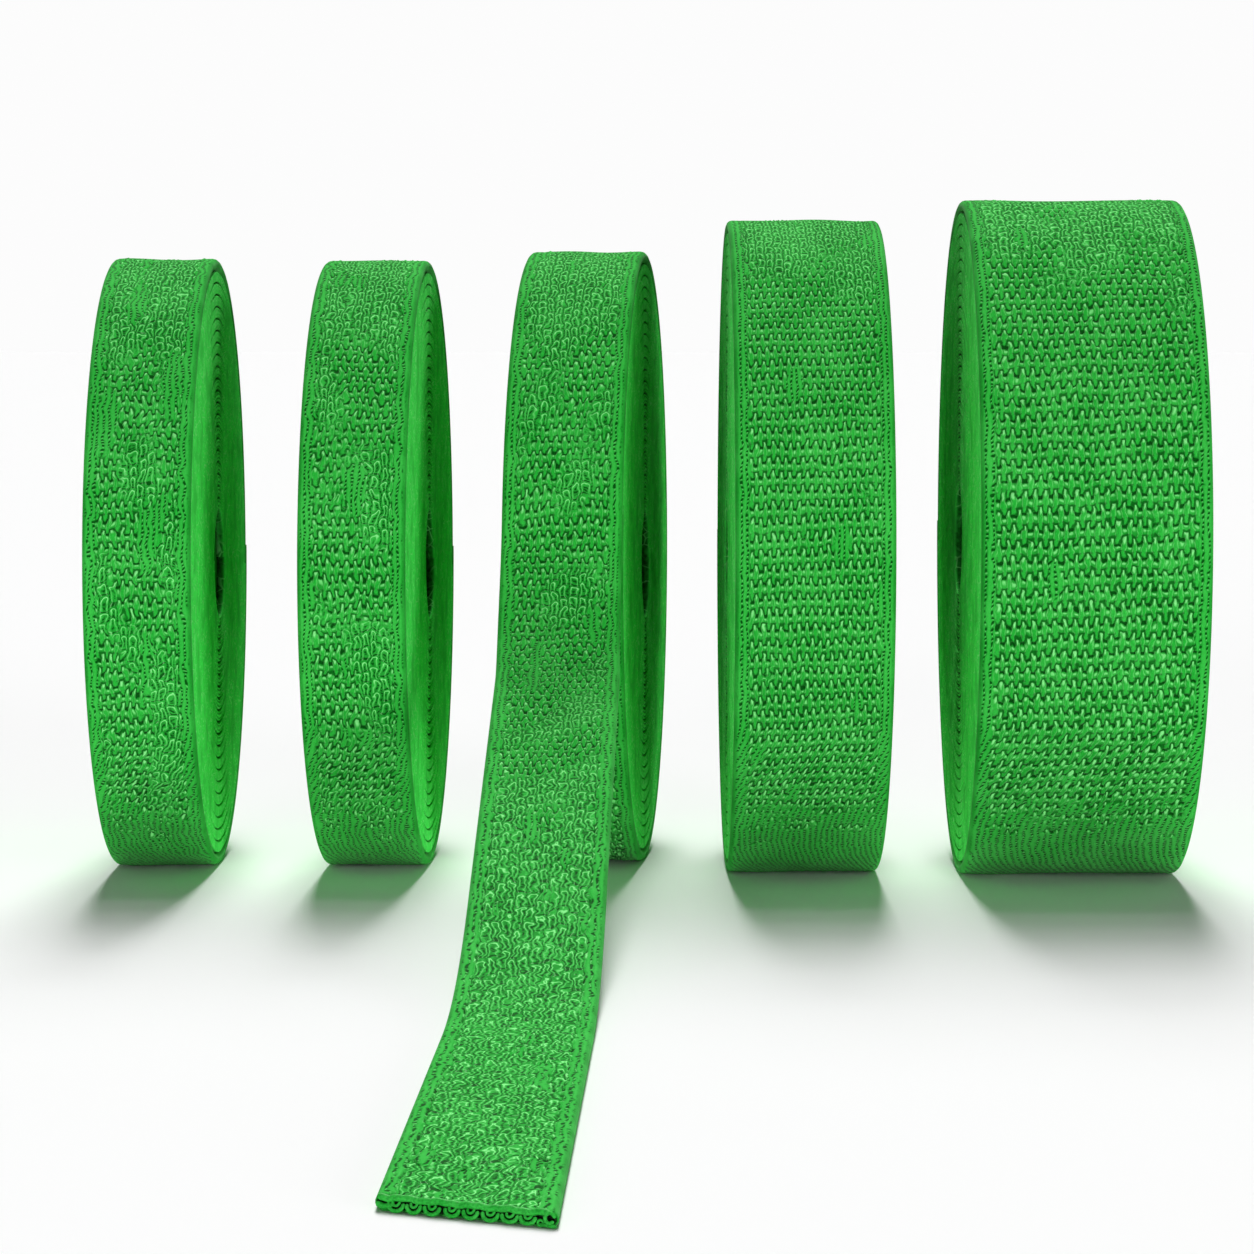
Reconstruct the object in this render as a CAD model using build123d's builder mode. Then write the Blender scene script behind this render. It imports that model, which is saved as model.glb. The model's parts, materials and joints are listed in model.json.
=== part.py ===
"""Five rolls of knitted elastic band in graded widths, standing on their rims in a row.

The third roll has its outer end drawn off and laid on the surface in front of it. The band is
a knitted sandwich: a face layer, a row of flat rubber cords and a back layer, closed along
both edges by selvedges. +Z is up, the rolls face -Y, and the origin is under the middle.
"""

from build123d import *
import os
from math import cos, degrees, radians, sin, tan
from typing import NamedTuple

os.makedirs("parts", exist_ok=True)

# The band's layers, counted from its back to its face
back_thickness = 0.66
cord_thickness = 0.80
face_thickness = 0.90
layer_gap = 0.12  # between neighbouring layers, and the least between neighbouring turns
selvedge_width = 2.0
selvedge_inset = 0.10  # how far a selvedge lies below the band's face
cord_width = 1.6
cord_pitch = 2.9

# The eye that the winding spindle leaves in every roll
eye_radius = 12.0

# The free band of the drawn-off roll, from where it leaves the coil to its cut end
leave_angle = 10.0  # how far above the coil's foremost point it leaves, in degrees
leave_radius = 45.0  # of the bend where it turns away from the coil
drape_slope = 18.5  # how steeply its middle stretch falls, in degrees
landing_radius = 250.0  # of the long bend onto the surface
laid_reach = 159.9  # from where it lands on the surface to the middle of the cut end
free_turn = 1.0  # how far it points left of straight ahead, in degrees
cut_skew = 26.0  # how far the cut is off square, in degrees
landing_run = 19.9  # of it, before the stretch that slides forward when the band is pulled
lead_out = 6.5  # of the band past the leaving point that stays with the coil
bend_gap = 1.2  # open between the coil and the free band, where the band bends
pull_gap = 0.6  # open between the free band's two stretches


class Roll(NamedTuple):
    """One roll: its band's width, its diameter, and how it stands in the row."""

    width: float
    diameter: float
    gap_right: float  # to the next roll, at their axes
    set_forward: float  # of its axis, from the axis of the drawn-off roll
    turn: float  # of its front to the left, in degrees


rolls = [
    Roll(width=24.0, diameter=142.6, gap_right=25.7, set_forward=10.0, turn=0.0),
    Roll(width=24.0, diameter=142.2, gap_right=23.8, set_forward=10.0, turn=1.9),
    Roll(width=27.0, diameter=144.4, gap_right=18.5, set_forward=0.0, turn=4.2),
    Roll(width=35.0, diameter=151.3, gap_right=18.8, set_forward=22.0, turn=-0.7),
    Roll(width=50.0, diameter=155.8, gap_right=0.0, set_forward=26.0, turn=0.0),
]
drawn_off = 3  # the number of the roll whose end is drawn off

# Each layer's two surfaces, as distances from the band's back
cord_start = back_thickness + layer_gap
face_start = cord_start + cord_thickness + layer_gap
band_thickness = face_start + face_thickness
back_span = (0.0, back_thickness)
cord_span = (cord_start, cord_start + cord_thickness)
face_span = (face_start, band_thickness)
wound_edge_span = (0.0, band_thickness - selvedge_inset)
laid_edge_span = (selvedge_inset, band_thickness - selvedge_inset)
least_step = (band_thickness + layer_gap) / 2


def half_turns(number):
    """How many half turns follow a roll's first one.

    An even count ends the band at the front, as on the drawn-off roll, and an odd one behind.
    """
    wound = rolls[number - 1].diameter - 2 * (eye_radius + band_thickness)
    count = int((wound / least_step + 1) / 2)
    parity = 0 if number == drawn_off else 1
    return count if count % 2 == parity else count - 1


def half_step(number):
    """How much a roll's radius grows with each half turn."""
    wound = rolls[number - 1].diameter - 2 * (eye_radius + band_thickness)
    return wound / (2 * half_turns(number) - 1)


def last_radius(number):
    """The radius of a roll's last half turn, at the band's back."""
    return eye_radius + half_turns(number) * half_step(number)


def facing(turn):
    """The directions backwards and to the right of what is turned left by this angle."""
    back = Vector(sin(radians(turn)), cos(radians(turn)), 0)
    return back, back.cross(Vector(0, 0, 1))


def eye_height(number):
    """How high a roll's eye is above the surface that the roll stands on."""
    lower_half = half_turns(number) - (1 if number == drawn_off else 0)
    return eye_radius + band_thickness + lower_half * half_step(number)


# The bend that leads the band away from the coil: its centre lies in front of the coil, and
# the angles are seen from there, on the profile plane, with backwards as zero
bend_start = -leave_angle
bend_end = drape_slope - 90
lead_end = bend_start - degrees(lead_out / leave_radius)
free_start = lead_end - degrees(bend_gap / leave_radius)
bend_reach = last_radius(drawn_off) + leave_radius
bend_centre = Vector(-bend_reach, 0).rotate(Axis.Z, -leave_angle)

# The free band's profile, drawn round the bend's centre
bend_height = eye_height(drawn_off) + bend_centre.Y
landing_drop = landing_radius * (1 - cos(radians(drape_slope)))
fall = bend_height + leave_radius * sin(radians(bend_end)) - landing_drop
slope_length = fall / sin(radians(drape_slope))
slope_run = Vector(-slope_length, 0).rotate(Axis.Z, drape_slope)
landing_centre = Vector(leave_radius - landing_radius, 0).rotate(Axis.Z, bend_end) + slope_run
cut_x = landing_centre.X - laid_reach
pull_x = landing_centre.X - landing_run

# The row's overall length and depth
free_width = rolls[drawn_off - 1].width
coil_front = last_radius(drawn_off) + band_thickness
free_reach = -coil_front - bend_centre.X - cut_x
row_length = sum(roll.width + roll.gap_right for roll in rolls)
row_depth = coil_front * 2 + free_reach + free_width / 2 * tan(radians(cut_skew))


def eye_centre(number):
    """The middle of a roll's eye, with the roll standing on the surface."""
    roll = rolls[number - 1]
    left = sum(other.width + other.gap_right for other in rolls[: number - 1])
    axis_y = row_depth / 2 - coil_front - roll.set_forward
    return Vector(left + (roll.width - row_length) / 2, axis_y, eye_height(number))


def roll_plane(number, side):
    """The plane across a roll's axis, at this distance from its left side."""
    roll = rolls[number - 1]
    back, right = facing(roll.turn)
    origin = eye_centre(number) + right * (side - roll.width / 2)
    return Plane(origin=origin, x_dir=back, z_dir=right)


def free_plane(side):
    """The plane along the free band, at this distance from its left edge."""
    coil_back, _ = facing(rolls[drawn_off - 1].turn)
    back, right = facing(free_turn)
    lead = Vector(leave_radius, 0).rotate(Axis.Z, lead_end)
    hand_over = eye_centre(drawn_off) + coil_back * (bend_centre.X + lead.X)
    origin = hand_over - back * lead.X + Vector(0, 0, bend_centre.Y)
    return Plane(origin=origin + right * (side - free_width / 2), x_dir=back, z_dir=right)


def wound_surface(number, offset):
    """Draw a surface of the wound band, this far from its back, and give its two ends."""
    step = half_step(number)
    count = half_turns(number)
    for half in range(count + 1):
        centre = (step * (half % 2), 0)
        sweep = 180 - leave_angle if (number, half) == (drawn_off, count) else 180
        arc = CenterArc(centre, eye_radius + offset + half * step, 180 * (half % 2), sweep)
    if number == drawn_off:
        arc = CenterArc(bend_centre, leave_radius - offset, bend_start, lead_end - bend_start)
    return (eye_radius + offset, 0), arc @ 1


def wound_profile(number, span):
    """The profile of one layer of a roll, between its two surfaces."""
    with BuildSketch() as profile:
        with BuildLine():
            inner_start, inner_end = wound_surface(number, span[0])
            outer_start, outer_end = wound_surface(number, span[1])
            Line(inner_start, outer_start)
            Line(inner_end, outer_end)
        make_face()
    return profile.sketch


def eye_ring():
    """The band's folded first turn, which closes the eye to a full circle."""
    with BuildSketch() as ring:
        Circle(eye_radius + back_thickness)
        Circle(eye_radius, mode=Mode.SUBTRACT)
    return ring.sketch


def draped_surface(offset):
    """Draw a surface of the free span, this far from the band's back, and give its two ends."""
    sweep = bend_end - free_start
    bend = CenterArc((0, 0), leave_radius - offset, free_start, sweep)
    landing = CenterArc(landing_centre, landing_radius - offset, bend_end, -drape_slope)
    Line(bend @ 1, landing @ 0)
    flat = Line(landing @ 1, (pull_x + pull_gap / 2, (landing @ 1).Y))
    return bend @ 0, flat @ 1


def draped_profile(span):
    """The profile of one layer of the free span, between its two surfaces."""
    with BuildSketch() as profile:
        with BuildLine():
            lower_start, lower_end = draped_surface(span[0])
            upper_start, upper_end = draped_surface(span[1])
            Line(lower_start, upper_start)
            Line(lower_end, upper_end)
        make_face()
    return profile.sketch


def laid_profile(span):
    """The profile of one layer of the free end, lying flat, run on past its skewed cut."""
    low, high = span[0] - bend_height, span[1] - bend_height
    start, end = pull_x - pull_gap / 2, cut_x - free_width
    with BuildSketch() as profile:
        with BuildLine():
            Polyline((start, low), (end, low), (end, high), (start, high), close=True)
        make_face()
    return profile.sketch


def cut_plane():
    """The slanting plane of the cut end, with its normal pointing off the band."""
    back, right = facing(free_turn)
    middle = free_plane(free_width / 2).from_local_coords(Vector(cut_x, -bend_height))
    skew = radians(cut_skew)
    return Plane(origin=middle, z_dir=-back * cos(skew) - right * sin(skew))


def cord_sides(width):
    """The left sides of the rubber cords that a band of this width holds."""
    room = width - 2 * (selvedge_width + layer_gap)
    count = int((room - cord_width) / cord_pitch) + 1
    first = (width - cord_width - (count - 1) * cord_pitch) / 2
    return [first + index * cord_pitch for index in range(count)]


def save(piece, name):
    """Label a finished piece and write it out."""
    piece.part.label = name
    export_step(piece.part, f"parts/{name}.step")


for number, roll in enumerate(rolls, start=1):
    name = f"roll_{number}"
    inner_side = selvedge_width + layer_gap
    inner_width = roll.width - 2 * inner_side

    # The knitted back, which lies inwards and lines the eye
    with BuildPart() as back_layer:
        with BuildSketch(roll_plane(number, inner_side)):
            add(wound_profile(number, back_span))
            add(eye_ring())
        extrude(amount=inner_width)
    save(back_layer, f"{name}_back_layer")

    # The flat rubber cords that make the band elastic
    with BuildPart() as rubber_cords:
        with BuildSketch(*(roll_plane(number, side) for side in cord_sides(roll.width))):
            add(wound_profile(number, cord_span))
        extrude(amount=cord_width)
    save(rubber_cords, f"{name}_rubber_cords")

    # The knitted face, which lies outwards
    with BuildPart() as face_layer:
        with BuildSketch(roll_plane(number, inner_side)):
            add(wound_profile(number, face_span))
        extrude(amount=inner_width)
    save(face_layer, f"{name}_face_layer")

    # The turned edges, which show as the rings on the roll's two sides
    for edge, side in (("left", 0.0), ("right", roll.width - selvedge_width)):
        with BuildPart() as selvedge:
            with BuildSketch(roll_plane(number, side)):
                add(wound_profile(number, wound_edge_span))
                add(eye_ring())
            extrude(amount=selvedge_width)
        save(selvedge, f"{name}_{edge}_selvedge")


# The free band's layers, across its width: their left sides, their width and their surfaces
free_inner_side = selvedge_width + layer_gap
free_inner_width = free_width - 2 * free_inner_side
free_layers = {
    "back_layer": ([free_inner_side], free_inner_width, back_span),
    "rubber_cords": (cord_sides(free_width), cord_width, cord_span),
    "face_layer": ([free_inner_side], free_inner_width, face_span),
    "left_selvedge": ([0.0], selvedge_width, laid_edge_span),
    "right_selvedge": ([free_width - selvedge_width], selvedge_width, laid_edge_span),
}

for layer, (sides, width, span) in free_layers.items():
    # The stretch that falls from the coil and lands on the surface
    with BuildPart() as free_span:
        with BuildSketch(*(free_plane(side) for side in sides)):
            add(draped_profile(span))
        extrude(amount=width)
    save(free_span, f"free_span_{layer}")

    # The end that lies flat, cut off on the skew
    with BuildPart() as free_end:
        with BuildSketch(*(free_plane(side) for side in sides)):
            add(laid_profile(span))
        extrude(amount=width)
        split(bisect_by=cut_plane(), keep=Keep.BOTTOM)
    save(free_end, f"free_end_{layer}")
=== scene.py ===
"""Five rolls of green knitted elastic band on a pale floor, the third with its end drawn off.

Lengths are in millimetres until a mesh is made, and every mesh is in metres, in the row's own
frame: +Z up, the rolls facing -Y, the origin on the floor under the middle.
"""

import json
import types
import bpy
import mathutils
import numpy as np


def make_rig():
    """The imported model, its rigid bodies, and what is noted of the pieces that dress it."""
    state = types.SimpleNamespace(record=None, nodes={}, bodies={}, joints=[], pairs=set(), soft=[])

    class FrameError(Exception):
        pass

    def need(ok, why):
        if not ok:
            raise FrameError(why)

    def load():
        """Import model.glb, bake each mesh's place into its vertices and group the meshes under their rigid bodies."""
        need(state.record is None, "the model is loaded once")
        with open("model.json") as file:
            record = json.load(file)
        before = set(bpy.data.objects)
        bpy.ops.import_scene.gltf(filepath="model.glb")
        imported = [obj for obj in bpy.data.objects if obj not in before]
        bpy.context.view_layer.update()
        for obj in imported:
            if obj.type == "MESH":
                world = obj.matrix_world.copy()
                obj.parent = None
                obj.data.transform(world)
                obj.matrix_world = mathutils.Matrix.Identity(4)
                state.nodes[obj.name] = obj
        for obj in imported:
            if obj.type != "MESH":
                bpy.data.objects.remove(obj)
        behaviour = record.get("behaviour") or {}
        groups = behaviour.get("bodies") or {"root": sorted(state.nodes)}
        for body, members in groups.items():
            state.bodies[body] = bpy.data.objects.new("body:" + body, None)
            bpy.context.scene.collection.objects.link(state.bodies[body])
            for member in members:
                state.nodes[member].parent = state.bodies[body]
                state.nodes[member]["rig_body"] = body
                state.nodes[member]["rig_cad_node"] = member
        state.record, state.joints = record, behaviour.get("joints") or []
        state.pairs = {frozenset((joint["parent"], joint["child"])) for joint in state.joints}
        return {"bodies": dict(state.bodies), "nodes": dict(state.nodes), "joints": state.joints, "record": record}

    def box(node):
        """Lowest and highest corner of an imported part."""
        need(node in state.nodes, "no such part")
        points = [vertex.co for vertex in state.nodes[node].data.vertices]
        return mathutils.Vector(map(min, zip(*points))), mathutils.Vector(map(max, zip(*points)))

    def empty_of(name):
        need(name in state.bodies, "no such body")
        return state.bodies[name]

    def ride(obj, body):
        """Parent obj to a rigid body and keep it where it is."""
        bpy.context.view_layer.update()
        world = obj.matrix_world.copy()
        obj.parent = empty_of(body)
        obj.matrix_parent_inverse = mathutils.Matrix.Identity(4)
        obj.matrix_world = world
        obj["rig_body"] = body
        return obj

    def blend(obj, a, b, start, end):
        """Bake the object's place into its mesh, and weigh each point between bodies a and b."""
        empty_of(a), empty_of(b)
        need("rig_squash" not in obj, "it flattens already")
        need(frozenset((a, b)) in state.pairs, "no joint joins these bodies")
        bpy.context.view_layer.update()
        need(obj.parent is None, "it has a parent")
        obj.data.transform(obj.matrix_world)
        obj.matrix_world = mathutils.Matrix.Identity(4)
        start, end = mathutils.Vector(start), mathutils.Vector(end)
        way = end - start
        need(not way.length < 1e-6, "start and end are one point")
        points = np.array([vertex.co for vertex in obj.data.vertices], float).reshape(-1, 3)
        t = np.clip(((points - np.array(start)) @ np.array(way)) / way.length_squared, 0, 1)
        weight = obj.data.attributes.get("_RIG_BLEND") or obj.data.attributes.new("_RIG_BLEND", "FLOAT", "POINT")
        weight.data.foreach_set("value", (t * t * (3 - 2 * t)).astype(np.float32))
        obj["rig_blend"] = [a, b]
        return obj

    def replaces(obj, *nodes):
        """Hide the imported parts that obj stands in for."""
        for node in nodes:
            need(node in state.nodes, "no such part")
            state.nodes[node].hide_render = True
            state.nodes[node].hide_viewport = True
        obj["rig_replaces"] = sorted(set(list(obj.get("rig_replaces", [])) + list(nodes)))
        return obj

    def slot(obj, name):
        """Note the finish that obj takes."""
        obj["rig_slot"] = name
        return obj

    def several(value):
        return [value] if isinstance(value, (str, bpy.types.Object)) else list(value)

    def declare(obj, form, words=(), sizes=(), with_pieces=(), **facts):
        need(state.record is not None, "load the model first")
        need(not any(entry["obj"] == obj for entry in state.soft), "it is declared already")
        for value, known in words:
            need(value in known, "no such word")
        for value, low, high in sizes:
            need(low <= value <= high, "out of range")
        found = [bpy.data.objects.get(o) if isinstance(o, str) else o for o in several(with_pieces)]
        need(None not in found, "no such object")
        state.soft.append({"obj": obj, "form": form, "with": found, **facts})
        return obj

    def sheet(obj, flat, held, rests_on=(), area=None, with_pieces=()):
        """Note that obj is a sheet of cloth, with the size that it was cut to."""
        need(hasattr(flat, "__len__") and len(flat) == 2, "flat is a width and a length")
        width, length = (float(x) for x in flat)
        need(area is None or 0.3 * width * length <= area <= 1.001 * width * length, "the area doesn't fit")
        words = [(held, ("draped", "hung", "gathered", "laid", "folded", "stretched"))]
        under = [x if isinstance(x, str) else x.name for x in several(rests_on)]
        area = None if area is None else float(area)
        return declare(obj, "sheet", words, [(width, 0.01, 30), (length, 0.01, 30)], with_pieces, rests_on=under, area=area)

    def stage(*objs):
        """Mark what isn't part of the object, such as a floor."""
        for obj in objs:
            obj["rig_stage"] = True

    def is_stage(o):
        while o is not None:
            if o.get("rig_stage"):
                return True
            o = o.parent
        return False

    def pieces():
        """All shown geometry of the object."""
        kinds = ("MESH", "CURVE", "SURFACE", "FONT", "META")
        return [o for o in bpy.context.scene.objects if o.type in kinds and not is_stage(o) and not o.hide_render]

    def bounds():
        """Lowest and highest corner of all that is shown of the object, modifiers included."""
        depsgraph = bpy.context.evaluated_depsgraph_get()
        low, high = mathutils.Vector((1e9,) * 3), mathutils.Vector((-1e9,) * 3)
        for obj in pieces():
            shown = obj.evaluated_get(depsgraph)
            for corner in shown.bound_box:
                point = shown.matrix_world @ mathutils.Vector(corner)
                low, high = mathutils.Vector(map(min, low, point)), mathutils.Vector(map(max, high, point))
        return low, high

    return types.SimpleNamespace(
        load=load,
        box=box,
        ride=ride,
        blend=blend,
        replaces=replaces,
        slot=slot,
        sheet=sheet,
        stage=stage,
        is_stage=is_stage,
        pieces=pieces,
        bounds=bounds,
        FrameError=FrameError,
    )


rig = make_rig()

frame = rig.load()

import json
from math import cos, pi, radians, sin, tan

import bpy
import numpy as np

cad_box = [list(corner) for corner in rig.bounds()]


# ---------------------------------------------------------------------------------------------
# The studio: a white sweep of floor, a bank of lamps that hangs over the row and reaches back
# behind it, and two fills low in front. The lens is long and stands a little below the roll tops.
# ---------------------------------------------------------------------------------------------

CAMERA_PLACE = (0.0022, -0.9072, 0.1275)
CAMERA_TILT = radians(86.24)
CAMERA_SWING = radians(0.298)
LENS = 132.6  # on a sensor 36 mm wide

bpy.ops.object.camera_add(location=CAMERA_PLACE, rotation=(CAMERA_TILT, 0, CAMERA_SWING))
camera = bpy.context.object
camera.data.sensor_width = 36.0
camera.data.lens = LENS
camera.data.clip_start, camera.data.clip_end = 0.01, 100.0
bpy.context.scene.camera = camera
bpy.context.scene.view_settings.view_transform = "Standard"

# Each lamp's name, strength, tilt from straight above, swing to the side and how broad it looks
LAMPS = (
    ("bank_front", 0.24, 0, 0, 12),
    ("bank_second", 0.35, -15, 0, 12),
    ("bank_third", 0.62, -27, 0, 13),
    ("bank_fourth", 0.80, -37, 0, 13),
    ("bank_fifth", 0.82, -46, 0, 14),
    ("bank_rear", 0.85, -55, 0, 15),
    ("fill_right", 1.25, 85, 36, 20),
    ("fill_left", 0.95, 85, -16, 20),
)
for name, strength, tilt, swing, breadth in LAMPS:
    bpy.ops.object.light_add(type="SUN", rotation=(radians(tilt), 0, radians(swing)))
    lamp = bpy.context.object
    lamp.name = name
    lamp.data.energy = strength
    lamp.data.angle = radians(breadth)

DOME_LIGHT = 0.10  # on the row and the floor
BACKDROP = 0.975  # how bright the empty background looks

world = bpy.data.worlds.new("studio_dome")
bpy.context.scene.world = world
world.use_nodes = True
dome = world.node_tree
for made in list(dome.nodes):
    dome.nodes.remove(made)
dome_out = dome.nodes.new("ShaderNodeOutputWorld")
dome_mix = dome.nodes.new("ShaderNodeMixShader")
dome_rays = dome.nodes.new("ShaderNodeLightPath")
for slot, strength in ((1, DOME_LIGHT), (2, BACKDROP)):
    sky = dome.nodes.new("ShaderNodeBackground")
    sky.inputs["Color"].default_value = (1.0, 1.0, 1.0, 1.0)
    sky.inputs["Strength"].default_value = strength
    dome.links.new(sky.outputs[0], dome_mix.inputs[slot])
dome.links.new(dome_rays.outputs["Is Camera Ray"], dome_mix.inputs[0])
dome.links.new(dome_mix.outputs[0], dome_out.inputs[0])

PAPER_WHITE = (0.92, 0.92, 0.92, 1.0)
PAPER_SIZE = 40.0

bpy.ops.mesh.primitive_plane_add(size=PAPER_SIZE, location=(0, 0, 0))
floor = bpy.context.object
floor.name = "floor"
paper = bpy.data.materials.new("white_paper")
paper.use_nodes = True
paper_shader = paper.node_tree.nodes["Principled BSDF"]
paper_shader.inputs["Base Color"].default_value = PAPER_WHITE
paper_shader.inputs["Roughness"].default_value = 0.9
paper_shader.inputs["Specular IOR Level"].default_value = 0.0
floor.data.materials.append(paper)
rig.stage(floor)


# ---------------------------------------------------------------------------------------------
# The winding: each roll is one length of band wound on a spindle, so its section is a spiral
# of half circles that grow by half the band's pitch. The eye is where the spindle was.
# ---------------------------------------------------------------------------------------------

UP = np.array((0.0, 0.0, 1.0))
DRAWN_OFF = 3  # the roll whose end is drawn off
HALF_TURNS = {1: 41, 2: 41, 3: 42, 4: 45, 5: 47}  # before each roll's last one
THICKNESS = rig.box("free_end_face_layer")[1].z * 1000
LEAVE_ANGLE = radians(170)  # of the last half turn, where the third roll's band comes away


class Winding:
    """One roll's spiral: where the band lies at each angle, up the back and down the front."""

    def __init__(self, number):
        eye = next(m for m in frame["record"]["mounts"] if m["name"] == f"eye_{number}")
        self.number = number
        self.width = eye["dims"]["length_mm"]
        self.eye_radius = eye["dims"]["r_mm"]
        self.centre = np.array(eye["pos_m"]) * 1000
        self.right = np.array(eye["axis"]) * np.sign(eye["axis"][0])
        self.back = np.cross(UP, self.right)
        self.halves = HALF_TURNS[number]
        lowest = self.halves - 1 + self.halves % 2
        self.step = (self.centre[2] - self.eye_radius - THICKNESS) / lowest
        last = LEAVE_ANGLE if number == DRAWN_OFF else pi
        self.end = self.halves * pi + last

    def radius(self, angle):
        return self.eye_radius + np.clip(np.floor(angle / pi), 0, self.halves) * self.step

    def profile(self, angle):
        """The band's back at these angles, as distances backwards and up from the eye."""
        half = np.clip(np.floor(angle / pi), 0, self.halves)
        shift = self.step * (half % 2)
        radius = self.radius(angle)
        return shift + radius * np.cos(angle), radius * np.sin(angle)

    def along(self, angle):
        """The length of band wound up to these angles."""
        half = np.clip(np.floor(angle / pi), 0, self.halves)
        full = pi * (self.eye_radius * half + self.step * half * (half - 1) / 2)
        return full + self.radius(angle) * (angle - half * pi)


def to_frame(origin, back, right, level, height, side):
    """Points in the row's frame, from their distances backwards, up and to the right."""
    return (
        origin
        + np.asarray(level)[..., None] * back
        + np.asarray(height)[..., None] * UP
        + np.asarray(side)[..., None] * right
    )


windings = {number: Winding(number) for number in HALF_TURNS}


# ---------------------------------------------------------------------------------------------
# The knit: covered yarn looped round the rubber, one row of loops set half a stitch aside from
# the next. Each loop stands up with a painted highlight on its head, and a small hole opens below
# its foot, darkened with painted shade.
# ---------------------------------------------------------------------------------------------


class Signal:
    """A number that varies over a surface, carried by one socket of a material."""

    def __init__(self, finish, socket):
        self.finish, self.socket = finish, socket

    def math(self, operation, *values):
        inputs = dict(enumerate(values))
        return self.finish.add("ShaderNodeMath", {"operation": operation}, inputs)

    def __add__(self, other):
        return self.math("ADD", self, other)

    def __sub__(self, other):
        return self.math("SUBTRACT", self, other)

    def __rsub__(self, other):
        return self.math("SUBTRACT", other, self)

    def __mul__(self, other):
        return self.math("MULTIPLY", self, other)

    def __truediv__(self, other):
        return self.math("DIVIDE", self, other)

    def __abs__(self):
        return self.math("ABSOLUTE", self)

    __radd__ = __add__
    __rmul__ = __mul__


class Finish:
    """A material in the making: add makes any node, and the rest are those used often."""

    def __init__(self, name):
        self.material = bpy.data.materials.new(name)
        self.material.use_nodes = True
        self.tree = self.material.node_tree
        self.shader = self.tree.nodes["Principled BSDF"]

    def add(self, kind, settings, inputs, output=0):
        made = self.tree.nodes.new(kind)
        for key, value in settings.items():
            setattr(made, key, value)
        for key, value in inputs.items():
            self.feed(made.inputs[key], value)
        return Signal(self, made.outputs[output])

    def feed(self, socket, value):
        if isinstance(value, Signal):
            self.tree.links.new(value.socket, socket)
        else:
            socket.default_value = value

    def set(self, **values):
        for key, value in values.items():
            self.feed(self.shader.inputs[key.replace("_", " ")], value)

    def mixed(self, share, first, second):
        """One colour going over into another."""
        return self.add(
            "ShaderNodeMix", {"data_type": "RGBA"}, {0: share, 6: first, 7: second}, output=2
        )

    def mark(self, name, axis):
        """One of the three numbers that a piece carries at each point."""
        marks = self.add("ShaderNodeAttribute", {"attribute_name": name}, {}, output=1)
        return self.add("ShaderNodeSeparateXYZ", {}, {0: marks}, output=axis)

    def noise(self, vector, scale, detail=2.0, roughness=0.5):
        inputs = {"Vector": vector, "Scale": scale, "Detail": detail, "Roughness": roughness}
        return self.add("ShaderNodeTexNoise", {}, inputs)

    def chance(self, first, second):
        """A number from 0 to 1 drawn for each pair of whole numbers."""
        pair = self.add("ShaderNodeCombineXYZ", {}, {0: first, 1: second})
        return self.add("ShaderNodeTexWhiteNoise", {"noise_dimensions": "2D"}, {"Vector": pair})

    def bump(self, height, strength, distance):
        inputs = {"Height": height, "Strength": strength, "Distance": distance}
        self.set(Normal=self.add("ShaderNodeBump", {}, inputs))


def fraction(value):
    """What is over after the last whole stitch."""
    return value.math("FRACT", value) if isinstance(value, Signal) else value - np.floor(value)


def rise(value, low, high):
    """0 up to low, 1 from high on, and an easy slope between them; low may be the larger."""
    if isinstance(value, Signal):
        inputs = {"Value": value, "From Min": low, "From Max": high}
        return value.finish.add(
            "ShaderNodeMapRange", {"interpolation_type": "SMOOTHSTEP"}, inputs
        )
    share = np.clip((value - low) / (high - low), 0, 1)
    return share * share * (3 - 2 * share)


def hump(value, start, full, hold, end):
    """A rise and a fall again."""
    return rise(value, start, full) * (1 - rise(value, hold, end))


def distance(across, down):
    """How far away a point is, from its distance on either axis."""
    square = across * across + down * down
    return square.math("SQRT", square)


def loops(column, row):
    """Neat knitting: how far it stands up, how open its holes are, and how much painted highlight its heads take."""
    relief, hole, highlight = 0.0, 0.0, 0.0
    for shift in (0.0, 0.5):
        across = abs(fraction(column + shift) - 0.5)
        down = fraction(row / 2 + shift) * 2
        early = fraction(row / 2 + shift + 0.1) * 2 - 0.2
        half = 0.12 + rise(down, 0.0, 0.45) * 0.17 - rise(down, 0.8, 1.35) * 0.09
        loop = rise(across, half + 0.05, half * 0.3) * hump(down, 0.0, 0.12, 1.22, 1.36)
        # The arch over each head is a shallow groove that also takes painted shadow; the slot and the foot's hole take
        # painted shade
        arch = rise(across, half + 0.24, half + 0.10) * hump(early, -0.16, -0.04, 0.15, 0.75)
        arch = arch * (1 - loop)
        slot = rise(across, 0.08, 0.01) * hump(down, 0.35, 0.55, 0.85, 1.15)
        foot = rise(across, 0.27, 0.14) * hump(down, 1.31, 1.40, 1.46, 1.56)
        bead = rise(across, 0.26, 0.06) * hump(down, 1.54, 1.62, 1.66, 1.84)
        crest = rise(abs(across - half * 0.72), 0.09, 0.0) * hump(down, 0.15, 0.4, 0.8, 1.25)
        relief = relief + loop * (1 - rise(down, 0.3, 1.3) * 0.45) + bead * 0.4
        relief = relief - foot * 0.7 - arch * 0.45 - slot * 0.22
        hole = hole + foot + arch * 0.62 + slot * 0.30
        # Painted highlight on the top of each loop's head, along its arms' crests and on its bead
        highlight = highlight + rise(across, 0.18, 0.02) * hump(down, 0.03, 0.1, 0.16, 0.6)
        highlight = highlight + crest * 0.42 + bead * 0.6
    return relief, hole, highlight


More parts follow.
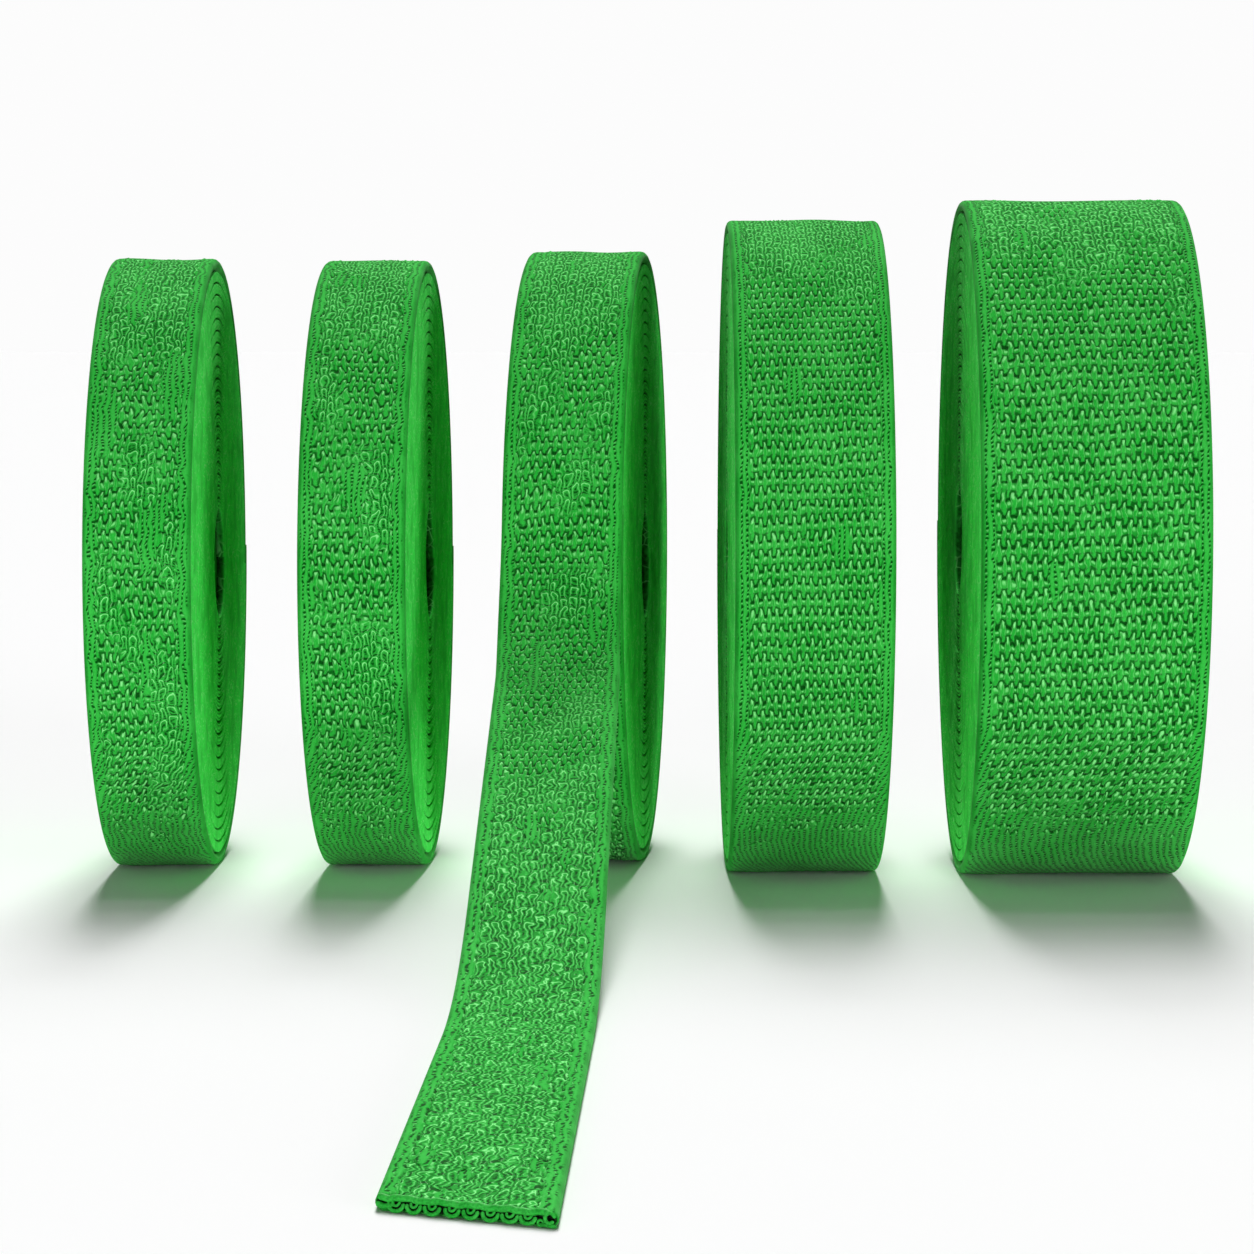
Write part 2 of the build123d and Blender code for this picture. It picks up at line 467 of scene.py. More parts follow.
def ladders(column, row):
    """Bunched knitting: narrow upright ribs, with a small hole at each crossing between them."""
    across = abs(fraction(column * 1.5) - 0.5)
    down = fraction(row * 3.1 + column * 0.75)
    rib = rise(across, 0.44, 0.12)
    bead = rise(distance(0.5 - across, (down - 0.86) * 0.72), 0.22, 0.04)
    hole = rise(distance(0.5 - across, (down - 0.45) * 0.72), 0.27, 0.12)
    # The holes take painted shade, and the beads and ribs a painted highlight
    return rib * 0.55 + bead * 0.2 - hole * 0.6, hole * 0.9, bead * 0.4 + rib * 0.16


def knitting(column, row, bunched, rim):
    """The two kinds of knitting, each where it belongs, dying out at the band's smooth rim."""
    kinds = zip(loops(column, row), ladders(column, row))
    return [(neat + (wild - neat) * bunched) * rim for neat, wild in kinds]


SHADE_AND_DARK_FLECK = (0.0006, 0.075, 0.004, 1.0)  # painted shade, down in a hole, in a groove or in the cut's pocket; also the yarn's dark flecks
GREEN = (0.022, 0.500, 0.044, 1.0)  # the yarn itself
FRESH = (0.060, 0.640, 0.085, 1.0)  # in the paler patches of a dye lot
BRIGHT = (0.300, 1.000, 0.320, 1.0)  # painted highlight, where a strand's crest catches the light; also the net of loose fibres on the wound edges
RELIEF = 0.42  # of the loops, from their ground to their heads
HAIRPIN = 0.27  # the radius that a tangled loop is bent to, in stitches

knit = Finish("green_knit")
column, row, kind = (knit.mark("stitch", axis) for axis in range(3))
bunched, tangled = rise(kind, 0.5, 1.0), rise(kind, 0.5, 0.0)
rim = rise(knit.mark("place", 2), 0.3, 1.1)
place = knit.add("ShaderNodeAttribute", {"attribute_name": "place"}, {}, output=1)
patches = knit.noise(place, 0.09)
yarn = knit.noise(place, 2.6, detail=3.0, roughness=0.6)
column = column + (knit.noise(place, 0.55, detail=1.0) - 0.5) * 0.5
row = row + (knit.noise(place, 0.43, detail=1.0) - 0.5) * 0.5
relief, hole, highlight = knitting(column, row, bunched, rim)

# Where the knitting is tangled, each loop is a hairpin that has slipped up or down its own
# wale: a strand bent over at its top, a slot between its legs and a gap under its foot. The
# slot and the gap take painted shade, and the strand a painted highlight, strongest near its bend
wale = column * 0.95 + (knit.noise(place, 0.32, detail=1.0) - 0.5) * 0.9
across = abs(fraction(wale) - 0.5)
which = wale.math("FLOOR", wale)
course = row * 1.05 + knit.chance(which, 0.0)
slipped = 0.12 + knit.chance(which, course.math("FLOOR", course)) * 0.35
below = (fraction(course) - slipped) * 1.6
cap = distance(across, below.math("MINIMUM", below - HAIRPIN, 0.0))
capped = rise(below, -0.22, -0.14)
away = abs(across - HAIRPIN) * (1 - capped) + abs(cap - HAIRPIN) * capped
leg = rise(away, 0.17, 0.05) * (1 - hump(below, -0.46, -0.36, -0.26, -0.18))
slot = rise(across, 0.16, 0.04) * rise(below, 0.2, 0.5) + rise(across, 0.40, 0.48)
pearls = rise(abs(fraction(row * 4.3 + across * 2.0) - 0.5), 0.16, 0.34)
under = hump(below, -0.46, -0.36, -0.28, -0.20) * rise(across, 0.44, 0.3)
gap = slot * (0.45 + pearls * 0.55) + under
relief = relief + (leg - gap * 0.5 - relief) * tangled * rim
hole = hole + (gap * 0.9 - hole) * tangled * rim
glint = rise(away, 0.11, 0.0) * (0.42 + rise(abs(below - 0.1), 0.5, 0.0) * 0.45)
highlight = highlight + (glint - highlight) * tangled * rim

# Painted shade: the ground is darkened where the loops lie low and in the holes; the paler patches and the yarn's dark
# flecks vary at random
ground = knit.mixed(rise(relief, 0.55, -0.15) * 0.42, GREEN, SHADE_AND_DARK_FLECK)
ground = knit.mixed(rise(patches, 0.35, 0.7) * 0.5, ground, FRESH)
ground = knit.mixed(rise(yarn, 0.6, 0.3) * 0.18, ground, SHADE_AND_DARK_FLECK)
ground = knit.mixed(rise(hole, 0.05, 0.9) * 0.93, ground, SHADE_AND_DARK_FLECK)
# Painted shade inside the cut's open pocket, where the third place mark falls below zero
ground = knit.mixed(rise(knit.mark("place", 2), -0.1, -1.2), ground, SHADE_AND_DARK_FLECK)
# Painted highlight: the heads, crests and glints are mixed towards the bright green
knit.set(
    Base_Color=knit.mixed(rise(highlight, 0.05, 0.9) * 0.9, ground, BRIGHT),
    Roughness=0.52 - rise(highlight, 0.1, 0.9) * 0.12,
)
knit.set(Specular_IOR_Level=0.0, Sheen_Weight=0.07, Sheen_Roughness=0.5)
knit.bump(relief + yarn * 0.16, 0.55, 0.0004)


def drift(across, along, size, seed):
    """A slow wander about zero, with hills about this many millimetres across."""
    draw = np.random.default_rng(seed)
    total = 0.0
    for _ in range(7):
        way, phase = draw.uniform(0, 2 * pi, 2)
        pace = 2 * pi / size * draw.uniform(0.6, 1.5)
        total = total + np.sin((across * cos(way) + along * sin(way)) * pace + phase)
    return total / 3


class Gauge:
    """How one roll is knitted: its stitches' size, and how far they stray, tangle and bunch."""

    def __init__(self, number, stitch, rows, stray, tangle, bunching):
        self.number, self.stitch, self.rows = number, stitch, rows
        self.stray, self.tangle, self.bunching = stray, tangle, bunching

    def count(self, side, along, edge, low, slant, top, drawn):
        """Place in stitches, and the kind of knitting: 0 tangled, 0.5 neat and 1 bunched."""
        seed = 10 * self.number
        column = (side - slant) / self.stitch
        column = column + self.stray * 0.15 * drift(side, along, 9, seed + 1)
        column = column + self.stray * 0.08 * drift(side, along, 4.4, seed + 2)
        row = (along - drawn) / self.rows + 0.012 * side
        row = row + self.stray * 0.16 * drift(side, along * 0.6, 12, seed + 3)
        row = row + self.stray * 0.09 * drift(side, along, 4.8, seed + 4)
        patch = rise(drift(side * 1.4, along * 0.5, 14, seed + 5) + self.bunching, 0.5, 1.0)
        margin = rise(edge, 3.6, 2.6)
        foot = rise(low + 0.18 * drift(side, along, 8, seed + 6), 0.3, 0.8)
        bunched = np.maximum(np.maximum(patch, margin), foot)
        tangled = drift(side * 0.7, along * 0.45, 13, seed + 7) * 0.6 + self.tangle + top * 1.6
        tangled = rise(tangled, -0.3, 0.4) * (1 - bunched)
        return column, row, 0.5 + bunched * 0.5 - tangled * 0.5


gauges = {
    1: Gauge(1, stitch=1.95, rows=3.0, stray=1.1, tangle=-0.10, bunching=-0.25),
    2: Gauge(2, stitch=1.95, rows=3.0, stray=1.1, tangle=-0.10, bunching=-0.25),
    3: Gauge(3, stitch=1.95, rows=3.1, stray=1.0, tangle=-0.20, bunching=-0.35),
    4: Gauge(4, stitch=1.85, rows=3.25, stray=0.5, tangle=-0.9, bunching=-0.6),
    5: Gauge(5, stitch=2.25, rows=3.4, stray=0.5, tangle=-0.9, bunching=-0.8),
}


# ---------------------------------------------------------------------------------------------
# The outer turn of each roll: the only stretch of band whose face shows. The band is a knitted
# tube pressed flat round its rubber cords, so its edges are round and its face carries loops.
# ---------------------------------------------------------------------------------------------


class Outline:
    """The band's rounded section, as points round it with their outward directions."""

    def __init__(self, width, over, under):
        bend = THICKNESS / 2
        flat = width / 2 - bend
        face = np.linspace(-flat, flat, int(2 * flat / over) + 1)
        back = np.linspace(flat, -flat, int(2 * flat / under) + 1)
        turn = np.linspace(pi / 2, -pi / 2, 8)[1:-1]
        wide, high = np.cos(turn), np.sin(turn)
        self.out_side = np.concatenate([face * 0, wide, back * 0, -wide])
        self.out_height = np.concatenate([face * 0 + 1, high, back * 0 - 1, -high])
        self.side = np.concatenate([face, flat + bend * wide, back, -flat - bend * wide])
        self.height = bend + bend * self.out_height
        self.edge = width / 2 - abs(self.side)

    def outwards(self, run):
        """Roughly which way is out, at each point of a band with this section."""
        _, normal, right, _ = run
        return right[:, None] * self.out_side[:, None] + normal[:, None] * self.out_height[:, None]


def knitted(run, outline, gauge, zones, skew=0.0):
    """A band laid along a run: its points, and where each is in stitches and in millimetres."""
    origin, normal, right, along = run
    side, height = outline.side[None, :], outline.height[None, :]
    along = along[:, None] + side * 0
    side = side + along * 0
    edge = outline.edge[None, :] + along * 0
    along = along + skew * side
    zones = (zone[:, None] + side * 0 for zone in zones)
    column, row, kind = gauge.count(side, along, edge, *zones)
    rim = rise(edge, 0.3, 1.1)
    neat = hump(kind, 0.0, 0.4, 0.6, 1.0) * rim
    relief = (0.5 + (loops(column, row)[0] - 0.5) * neat) * RELIEF
    slack = 0.22 * drift(side, along, 24, gauge.number + 90) * rise(edge, -1, 4)
    face = rise(outline.out_height, 0.2, 1.0)[None, :]
    proud = (relief - 0.45 * RELIEF + slack) * face
    level = (side + outline.out_side[None, :] * proud)[..., None]
    height = (height + outline.out_height[None, :] * proud)[..., None]
    points = origin[:, None] + right[:, None] * level + normal[:, None] * height
    return points, np.stack([column, row, kind], -1), np.stack([side, along, edge], -1)


def facing_out(points, rough):
    """The outward direction at each point of a skin, from its neighbours and a rough idea."""
    round_it = np.roll(points, -1, axis=1) - np.roll(points, 1, axis=1)
    out = np.cross(round_it, np.gradient(points, axis=0))
    out = out * np.sign((out * rough).sum())
    return out / np.maximum(np.linalg.norm(out, axis=-1, keepdims=True), 1e-9)


def skin(points, out):
    """The faces of a closed skin over rings of points, with a lid on its first and last ring."""
    rings, around = points.shape[:2]
    index = np.arange(rings * around).reshape(rings, around)
    beside = np.roll(index, -1, axis=1)
    sides = np.stack([index[:-1], beside[:-1], beside[1:], index[1:]], -1).reshape(-1, 4)
    corner = points.reshape(-1, 3)[sides]
    faces_out = np.cross(corner[:, 1] - corner[:, 0], corner[:, 2] - corner[:, 0])
    faces = sides.tolist() + [index[0][::-1].tolist(), index[-1].tolist()]
    if (faces_out * out.reshape(-1, 3)[sides[:, 0]]).sum() > 0:
        return faces
    return [face[::-1] for face in faces]


def close_up(name, parts, finish, slot, **marks):
    """Makes a piece of one or more closed skins, each from its points and outward directions."""
    faces, count = [], 0
    for points, out in parts:
        faces += [[corner + count for corner in face] for face in skin(points, out)]
        count += points.shape[0] * points.shape[1]
    mesh = bpy.data.meshes.new(name)
    everywhere = np.concatenate([points.reshape(-1, 3) for points, _ in parts]) / 1000
    mesh.from_pydata(everywhere.tolist(), [], faces)
    mesh.shade_smooth()
    outwards = np.concatenate([out.reshape(-1, 3) for _, out in parts])
    mesh.normals_split_custom_set_from_vertices(outwards)
    for key, values in marks.items():
        mark = mesh.attributes.new(key, "FLOAT_VECTOR", "POINT")
        mark.data.foreach_set("vector", values.astype(np.float32).ravel())
    mesh.materials.append(finish.material)
    piece = bpy.data.objects.new(name, mesh)
    bpy.context.scene.collection.objects.link(piece)
    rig.slot(piece, slot)
    return piece


FACE_STEP = 0.46  # between the points across the face
BACK_STEP = 6.0  # and across the back, which lies on the turn below
RING_STEP = 0.62  # and along the band
OVERLAP = radians(3)  # of the outer turn's start, under its end
END_THINS = ((-1, 0.25), (-2, 0.72), (-3, 0.93))  # the last rings' share of the thickness

for number, winding in windings.items():
    if number == DRAWN_OFF:
        continue
    start = winding.end - 2 * pi - OVERLAP
    steps = int((winding.along(winding.end) - winding.along(start)) / RING_STEP)
    angle = np.linspace(start, winding.end, steps)
    level, height = winding.profile(angle)
    origin = to_frame(winding.centre, winding.back, winding.right, level, height, level * 0)
    normal = np.cos(angle)[:, None] * winding.back + np.sin(angle)[:, None] * UP
    right = winding.right + normal * 0
    along = winding.along(angle)
    run = (origin, normal, right, along)
    outline = Outline(winding.width, FACE_STEP, BACK_STEP)
    low = rise(height / winding.centre[2], -0.45, -1.0)
    top = rise(height / winding.centre[2], 0.55, 0.95)
    zones = (low, low * (along - along[np.argmin(height)]) * 0.35, top, along * 0)
    points, stitch, place = knitted(run, outline, gauges[number], zones)
    for ring, share in END_THINS:
        middle = origin[ring] + normal[ring] * THICKNESS / 2
        lift = ((points[ring] - middle) @ normal[ring])[:, None] * normal[ring]
        points[ring] -= lift * (1 - share)
    out = facing_out(points, outline.outwards(run))
    turn = close_up(
        f"roll_{number}_outer_turn", [(points, out)], knit, "knit", stitch=stitch, place=place
    )
    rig.ride(turn, f"roll_{number}")
    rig.replaces(turn, f"roll_{number}_face_layer", f"roll_{number}_rubber_cords")


# ---------------------------------------------------------------------------------------------
# The drawn-off band: the third roll's last turn comes away near the front, bends down and
# lies along the floor. It is one length of band, shared by three pieces that meet unseen.
# ---------------------------------------------------------------------------------------------

LEAVE_RADIUS = 45.0  # of the bend where it comes away from the coil
SLOPE = radians(18.5)  # of the straight stretch below it
LANDING_RADIUS = 250.0  # of the bend down on to the floor
LAID_REACH = 159.9  # of the stretch on the floor
FREE_TURN = radians(1.0)  # of its heading, against the row's
LEAD_OUT = 6.5  # past the coil, where the two headings cross
TWIST_REACH = 50.0  # the band swings round from one to the other over this length
CUT_SKEW = radians(26.0)
SKEW_REACH = 60.0  # the rows of loops begin to lean this far before the cut
CUT_DEPTH = 2.4  # of the open pocket at the cut
BAND_BACK_STEP = 1.3  # between the points across this band's back, which is in sight
SPAN_LAID = 4.0  # of the laid stretch, before the free end takes over from the free span

coil = windings[DRAWN_OFF]
coil_start = coil.end - 2 * pi - OVERLAP
coil_length = float(coil.along(coil.end) - coil.along(coil_start))
leave_level, leave_height = coil.profile(np.array(coil.end))
leave_heading = LEAVE_ANGLE + pi / 2
bend_fall = LEAVE_RADIUS * (cos(pi + SLOPE) - cos(leave_heading))
landing_fall = LANDING_RADIUS * (cos(pi) - cos(pi + SLOPE))
slope_length = (coil.centre[2] + leave_height + bend_fall + landing_fall) / sin(SLOPE)
bend_length = LEAVE_RADIUS * (leave_heading - pi - SLOPE)
landing_length = LANDING_RADIUS * SLOPE
marks_at = np.cumsum([0.0, bend_length, slope_length, landing_length, LAID_REACH])
free_length = float(marks_at[-1])
span_length = float(marks_at[3]) + SPAN_LAID

fine = np.linspace(0.0, free_length, 12001)
heading = np.interp(fine, marks_at, [leave_heading, pi + SLOPE, pi + SLOPE, pi, pi])
pace = fine[1]
midway = (heading[1:] + heading[:-1]) / 2
level = leave_level + np.concatenate([[0], np.cumsum(np.cos(midway))]) * pace
height = leave_height + np.concatenate([[0], np.cumsum(np.sin(midway))]) * pace

free_steps = int(free_length / RING_STEP)
coil_steps = int(coil_length / RING_STEP)
free_at = np.linspace(0.0, free_length, free_steps)
coil_at = np.linspace(coil_start, coil.end, coil_steps)[:-1]
coil_level, coil_height = coil.profile(coil_at)
run_level = np.concatenate([coil_level, np.interp(free_at, fine, level)])
run_height = np.concatenate([coil_height, np.interp(free_at, fine, height)])
run_heading = np.concatenate([coil_at % (2 * pi) + pi / 2, np.interp(free_at, fine, heading)])
run_free = np.concatenate([coil_at * 0 - 1.0, free_at])
run_along = np.concatenate([coil.along(coil_at), float(coil.along(coil.end)) + free_at])

free_back = np.array((sin(FREE_TURN), cos(FREE_TURN), 0.0))
free_right = np.cross(free_back, UP)
hand_over = np.interp(LEAD_OUT, fine, level)
free_origin = coil.centre + coil.back * hand_over - free_back * hand_over
swing = rise(run_free, 0.0, TWIST_REACH)[:, None]
nothing = run_level * 0
on_coil = to_frame(coil.centre, coil.back, coil.right, run_level, run_height, nothing)
laid_out = to_frame(free_origin, free_back, free_right, run_level, run_height, nothing)
origin = on_coil + (laid_out - on_coil) * swing
back = coil.back + (free_back - coil.back) * swing
right = coil.right + (free_right - coil.right) * swing
normal = back * np.sin(run_heading)[:, None] - UP * np.cos(run_heading)[:, None]
run = (origin, normal, right, run_along)

outline = Outline(coil.width, FACE_STEP, BAND_BACK_STEP)
lean = np.clip((run_free - free_length + SKEW_REACH) / SKEW_REACH, 0, 1)[:, None]
top = rise(run_height / coil.centre[2], 0.55, 0.95) + 0.9 * rise(run_free, 60.0, 190.0)
drawn = np.cumsum(rise(run_free, 20.0, 200.0) * 0.70) * RING_STEP
zones = (nothing, nothing, top, drawn)
points, stitch, place = knitted(run, outline, gauges[DRAWN_OFF], zones, tan(CUT_SKEW) * lean)
points = points - (outline.side[None, :] * tan(CUT_SKEW) * lean)[..., None] * free_back

# The cut leaves the knitted tube open between its face and its back: two more rings turn in
# under the edge and back into the band, a little way along
middle = points[-1] * (1, 1, 0) + UP * THICKNESS / 2
heart = origin[-1] + UP * THICKNESS / 2
rounded = middle + (points[-1] - middle) * 0.86
mouth = heart + (middle - heart) * 0.96 + (points[-1] - middle) * 0.60
points = np.concatenate([points[:-1], [rounded, mouth, mouth + free_back * CUT_DEPTH]])
stitch = np.concatenate([stitch, stitch[-1:], stitch[-1:]])
inside = place[-1:] * (1, 1, 0) - (0, 0, 2)
place = np.concatenate([place, inside, inside])
run = tuple(np.concatenate([line, line[-1:], line[-1:]]) for line in run)
out = facing_out(points, outline.outwards(run))

shared = coil_steps - 1  # the ring where the coil hands over to the free span
landed = shared + int(np.searchsorted(free_at, span_length))
stretches = {
    "roll_3_outer_turn": slice(0, shared + 1),
    "free_span_band": slice(shared, landed + 1),
    "free_end_band": slice(landed, None),
}
free_pieces = {}
for name, rings in stretches.items():
    free_pieces[name] = close_up(
        name, [(points[rings], out[rings])], knit, "knit", stitch=stitch[rings], place=place[rings]
    )


def at_run(past):
    """The band's middle this far past where it leaves the coil, in metres."""
    ring = shared + int(np.searchsorted(free_at, past))
    return tuple(origin[ring] / 1000)


# The cut lets the last row of loops hang open: the yarn that ran across the top edge lies along
# it like a lip, the loops droop below it, and at the right corner a loose end has curled up.
cut_yarn = Finish("green_yarn")
where = cut_yarn.add("ShaderNodeTexCoord", {}, {}, output="Object")
hair = cut_yarn.noise(where, 2600.0, detail=3.0, roughness=0.6)
tint = cut_yarn.noise(where, 420.0)
shade = cut_yarn.mixed(rise(tint, 0.3, 0.7) * 0.8, GREEN, FRESH)
cut_yarn.set(
    Base_Color=cut_yarn.mixed(rise(hair, 0.6, 0.35) * 0.4, shade, SHADE_AND_DARK_FLECK),
    Roughness=0.6 - tint * 0.1,
)
cut_yarn.set(Specular_IOR_Level=0.08)
cut_yarn.bump(hair, 0.35, 0.0002)

along_cut = free_right * cos(CUT_SKEW) - free_back * sin(CUT_SKEW)
out_of_cut = -free_back * cos(CUT_SKEW) - free_right * sin(CUT_SKEW)
half_cut = coil.width / 2 / cos(CUT_SKEW)


def strand(across, height, forward, thick):
    """One length of yarn on the cut end: its skin, from how far across, up and out it runs."""
    across, height, forward = np.broadcast_arrays(across, height, forward)
    path = origin[-1] + across[:, None] * along_cut + height[:, None] * UP
    path = path + forward[:, None] * out_of_cut
    ahead = np.gradient(path, axis=0)
    first = np.cross(ahead, out_of_cut)
    first = first / np.linalg.norm(first, axis=1, keepdims=True)
    second = np.cross(first, ahead)
    second = second / np.linalg.norm(second, axis=1, keepdims=True)
    round_it = np.linspace(0, 2 * pi, 12, endpoint=False)[None, :, None]
    out = first[:, None] * np.cos(round_it) + second[:, None] * np.sin(round_it)
    tips = np.ones(len(path))
    tips[[0, -1]], tips[[1, -2]] = 0.35, 0.8
    return path[:, None] + out * (thick / 2 * tips)[:, None, None], out


draw = np.random.default_rng(7)
lip = np.linspace(-half_cut + 0.5, half_cut - 1.3, 90)
wave = 0.10 * np.sin(lip * 1.1) + 0.06 * np.sin(lip * 2.7 + 1)
strands = [strand(lip, THICKNESS - 0.45 + wave, 0.15 + 0.10 * np.sin(lip * 0.9), 1.05)]
droop = np.linspace(radians(-190), radians(10), 28)
for at in np.linspace(-half_cut + 3.7, half_cut - 4.6, 8):
    at = at + draw.uniform(-0.2, 0.2)
    wide, deep = draw.uniform(1.05, 1.25) * np.cos(droop), draw.uniform(0.85, 1.0) * np.sin(droop)
    bulge = 0.45 + 0.30 * np.sin(-droop)
    strands.append(strand(at + wide, 1.35 + deep, bulge, 0.62))
    strands.append(strand(at + wide * 0.45, 1.62 + deep * 0.5, bulge - 0.1, 0.42))
corner = np.linspace(-half_cut + 0.4, -half_cut + 3.2, 20)
strands.append(strand(corner, 1.25 - 0.35 * np.sin((corner - corner[0]) * 1.1), 0.35, 0.85))
curl = np.linspace(0, radians(335), 40)
wide, high = np.cos(curl), np.sin(curl)
lead = 0.35 + 0.05 * curl
strands.append(strand(half_cut - 1.25 + 0.72 * wide, 1.55 + 0.72 * high, lead, 0.55))
strands.append(strand(half_cut - 2.7 + 0.45 * wide, 0.72 + 0.42 * high, 0.45, 0.40))
hem = np.linspace(half_cut - 3.4, half_cut - 0.2, 24)
strands.append(strand(hem, 0.42 + 0.05 * np.sin(hem * 3), 0.25 + 0.1 * np.sin(hem), 0.62))
cut_loops = close_up("free_end_cut_loops", strands, cut_yarn, "knit")
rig.ride(cut_loops, "free_end")

LAYERS = ("back_layer", "rubber_cords", "face_layer", "left_selvedge", "right_selvedge")
BENDS = (1.0, 52.0)  # from here to here past the coil, when the band is lifted
STRETCHES = (marks_at[3] + 6.0, marks_at[4] - SKEW_REACH * 0.6)  # and here when it is pulled

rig.ride(free_pieces["roll_3_outer_turn"], "roll_3")
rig.replaces(free_pieces["roll_3_outer_turn"], "roll_3_face_layer", "roll_3_rubber_cords")
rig.blend(free_pieces["free_span_band"], "roll_3", "free_span", *map(at_run, BENDS))
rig.replaces(free_pieces["free_span_band"], *(f"free_span_{layer}" for layer in LAYERS))
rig.blend(free_pieces["free_end_band"], "free_span", "free_end", *map(at_run, STRETCHES))
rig.replaces(free_pieces["free_end_band"], *(f"free_end_{layer}" for layer in LAYERS))

band_width = coil.width / 1000
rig.sheet(
    free_pieces["free_span_band"], flat=(band_width, span_length / 1000),
    held="draped", rests_on=["roll_3_outer_turn"],
)
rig.sheet(
    free_pieces["free_end_band"], flat=(band_width, (free_length - span_length) / 1000),
    held="laid", rests_on=["floor"], with_pieces=[cut_loops],
)


# ---------------------------------------------------------------------------------------------
# The wound edges: on a roll's two sides every turn shows its selvedge, a close row of yarn with
# three fine ridges. The turns lie tight, and near the rim in front they are pressed almost
# smooth. Loose fibres cross them in an uneven net.
# ---------------------------------------------------------------------------------------------

SIDE_LIT_GREEN = (0.080, 0.950, 0.120, 1.0)  # painted light: the yarn's green made brighter on the rolls' wound sides, which the lamps light less than their faces
NET_SWAY = (0.0020, 0.0020, 0.0020)

edge_yarn = Finish("green_selvedge")
ridge = edge_yarn.mark("ridge", 0)
where = edge_yarn.add("ShaderNodeTexCoord", {}, {}, output="Object")
sway = edge_yarn.add(
    "ShaderNodeTexNoise", {}, {"Vector": where, "Scale": 140.0, "Detail": 1.0}, output=1
)
bent = edge_yarn.add(
    "ShaderNodeVectorMath", {"operation": "MULTIPLY_ADD"}, {0: sway, 1: NET_SWAY, 2: where}
)
cells = edge_yarn.add(
    "ShaderNodeTexVoronoi", {"feature": "DISTANCE_TO_EDGE"}, {"Vector": bent, "Scale": 290.0}
)
seam = rise(cells, 0.055, 0.02)
fuzz = edge_yarn.noise(where, 900.0, detail=2.0)
patches = edge_yarn.noise(where, 120.0)
# Painted shade in the grooves between the ridges; the dark patches and pale fuzz vary at random, and the fibres' net
# is mixed towards the bright green
shade = edge_yarn.mixed(rise(ridge, 0.75, 0.05) * 0.9, SIDE_LIT_GREEN, SHADE_AND_DARK_FLECK)
shade = edge_yarn.mixed(rise(patches, 0.55, 0.3) * 0.25, shade, SHADE_AND_DARK_FLECK)
shade = edge_yarn.mixed(rise(fuzz, 0.35, 0.65) * 0.35, shade, FRESH)
edge_yarn.set(
    Base_Color=edge_yarn.mixed(seam * rise(patches, 0.35, 0.65) * 0.6, shade, BRIGHT),
    Roughness=0.62 - seam * 0.08,
)
edge_yarn.set(Specular_IOR_Level=0.0, Sheen_Weight=0.04, Sheen_Roughness=0.5)
edge_yarn.bump(ridge * 0.7 + seam * 0.6 + fuzz * 0.08, 0.45, 0.0004)

# The section of a wound edge: how far through the band's thickness, how far below the side of
# the roll, and how much of a ridge it is
EDGE_SECTION = np.array([
    (0.00, 0.62, 0.0), (0.07, 0.22, 0.6), (0.17, 0.02, 1.0), (0.29, 0.18, 0.45),
    (0.38, 0.10, 0.7), (0.50, 0.00, 1.0), (0.62, 0.10, 0.7), (0.71, 0.18, 0.45),
    (0.83, 0.02, 1.0), (0.93, 0.22, 0.6), (1.00, 0.62, 0.0), (0.92, 2.0, 0.0), (0.08, 2.0, 0.0),
])
EDGE_PARTS = 96  # to a full turn
TURN_GAP = 0.06  # between one turn and the next
TUCKED = 1.5  # below this far the section lies inside the roll, and isn't worn
SIDE_CREST = 5  # the section's middle ridge, which faces straight out

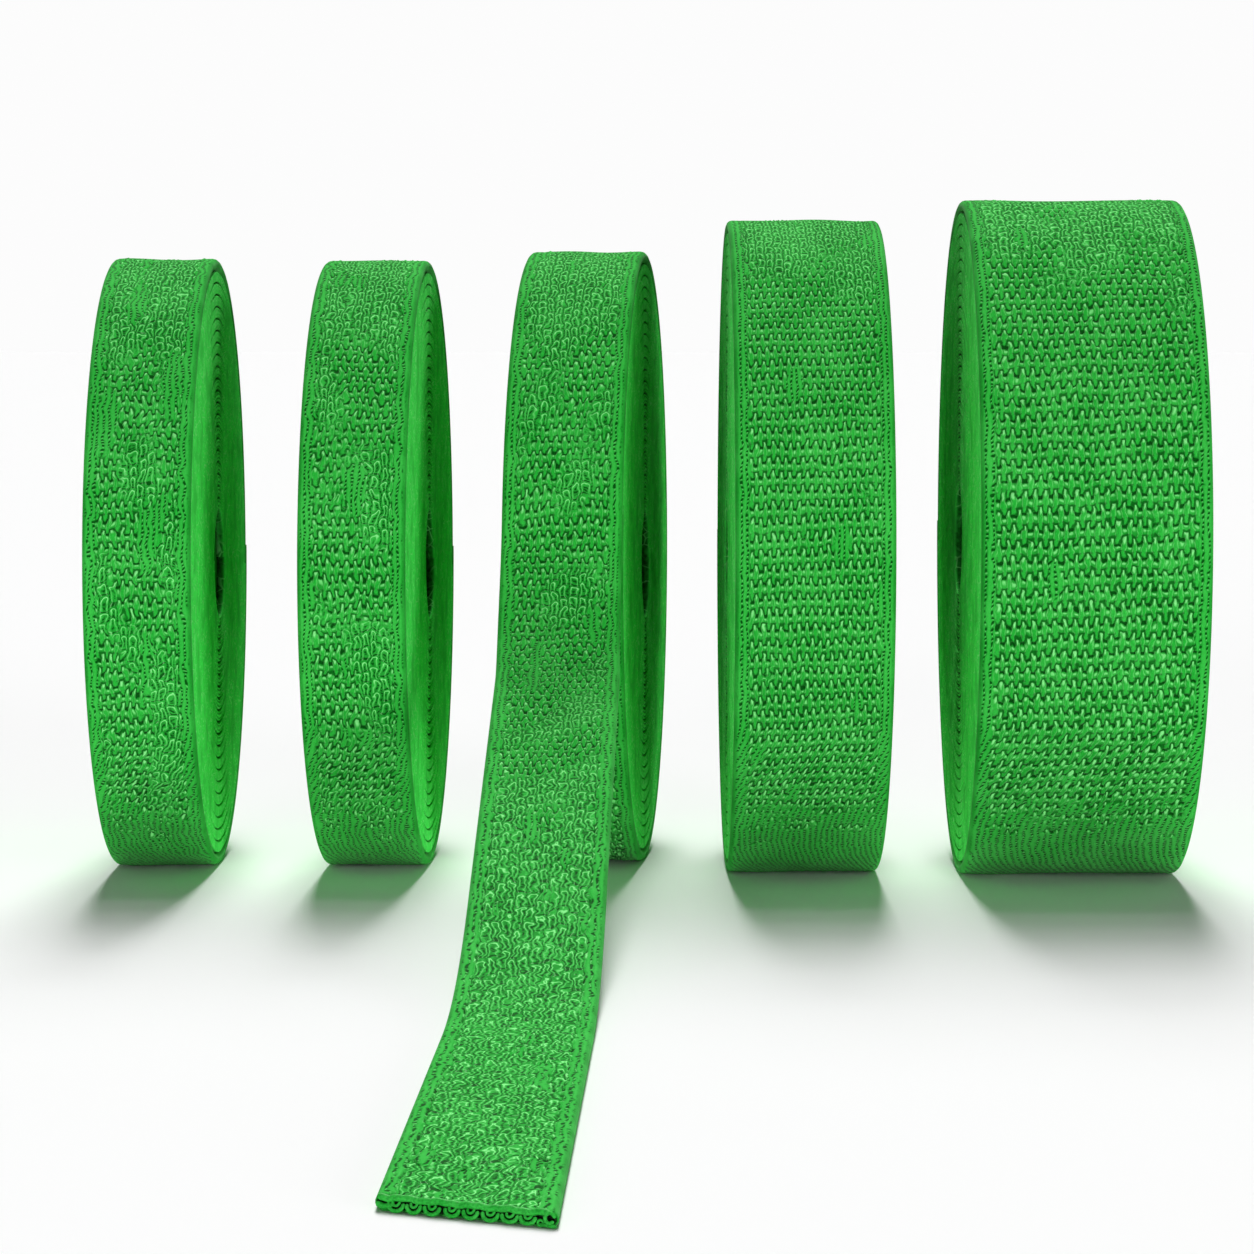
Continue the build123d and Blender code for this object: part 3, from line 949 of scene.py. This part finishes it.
for number, winding in windings.items():
    angle = np.arange(0.0, winding.end - 2 * pi, 2 * pi / EDGE_PARTS)
    level, height = winding.profile(angle)
    along = winding.along(angle)
    thick, below, crest = EDGE_SECTION.T
    outer = winding.centre[2]
    for edge, hand in (("left", -1), ("right", 1)):
        radius = winding.radius(angle)[:, None] + thick * (THICKNESS - TURN_GAP)
        front = rise(np.cos(angle), 0.35, -0.15)[:, None]
        worn = 1.45 - 1.05 * rise(radius, outer * 0.52, outer * 0.72) * front
        seed = 10 * number + hand
        wave = 0.16 * drift(radius * 3.1, along[:, None], 17, 200 + seed)
        wave = wave + 0.12 * drift(radius, along[:, None] * 0.4, 9, 300 + seed)
        depth = np.where(below > TUCKED, below, below * worn + np.abs(wave) * 0.5 + 0.03)
        side = hand * (winding.width / 2 - depth)
        shift = winding.step * (np.floor(angle / pi) % 2)
        level = shift[:, None] + radius * np.cos(angle)[:, None]
        height = radius * np.sin(angle)[:, None]
        points = to_frame(winding.centre, winding.back, winding.right, level, height, side)
        rough = np.zeros(points.shape)
        rough[:, SIDE_CREST] = winding.right * hand
        parts = [(points, facing_out(points, rough))]
        # How much of a ridge each point shows; the material paints shade on the low parts
        shown = np.clip(1 - (1 - crest) * worn, 0, 1)[..., None]
        name = f"roll_{number}_{edge}_wound_edge"
        piece = close_up(name, parts, edge_yarn, "selvedge", ridge=shown * (1, 0, 0))
        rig.ride(piece, f"roll_{number}")
        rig.replaces(piece, f"roll_{number}_{edge}_selvedge")


# ---------------------------------------------------------------------------------------------
# The back of the band, which lines each eye: plainer knitting, with upright wales and no heads.
# ---------------------------------------------------------------------------------------------

lining = Finish("green_lining")
where = lining.add("ShaderNodeTexCoord", {}, {}, output="Object")
wales = lining.add(
    "ShaderNodeTexWave", {"bands_direction": "X"},
    {"Vector": where, "Scale": 160.0, "Distortion": 1.2, "Detail": 2.0},
)
grain = lining.noise(where, 900.0)
# Painted shade: the lining's green is darkened, fully in the wales' grooves and partly on their crests
lining.set(
    Base_Color=lining.mixed(rise(wales, 0.2, 0.7) * 0.7, SHADE_AND_DARK_FLECK, GREEN),
    Roughness=0.7 - grain * 0.1,
)
lining.set(Specular_IOR_Level=0.05)
lining.bump(wales + grain * 0.3, 0.5, 0.0003)
for number in windings:
    node = frame["nodes"][f"roll_{number}_back_layer"]
    node.data.materials.clear()
    node.data.materials.append(lining.material)
    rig.slot(node, "knit")


visual_box = [list(corner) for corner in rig.bounds()]
with open("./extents.json", "w") as sizes:
    json.dump({"cad": cad_box, "visual": visual_box}, sizes)
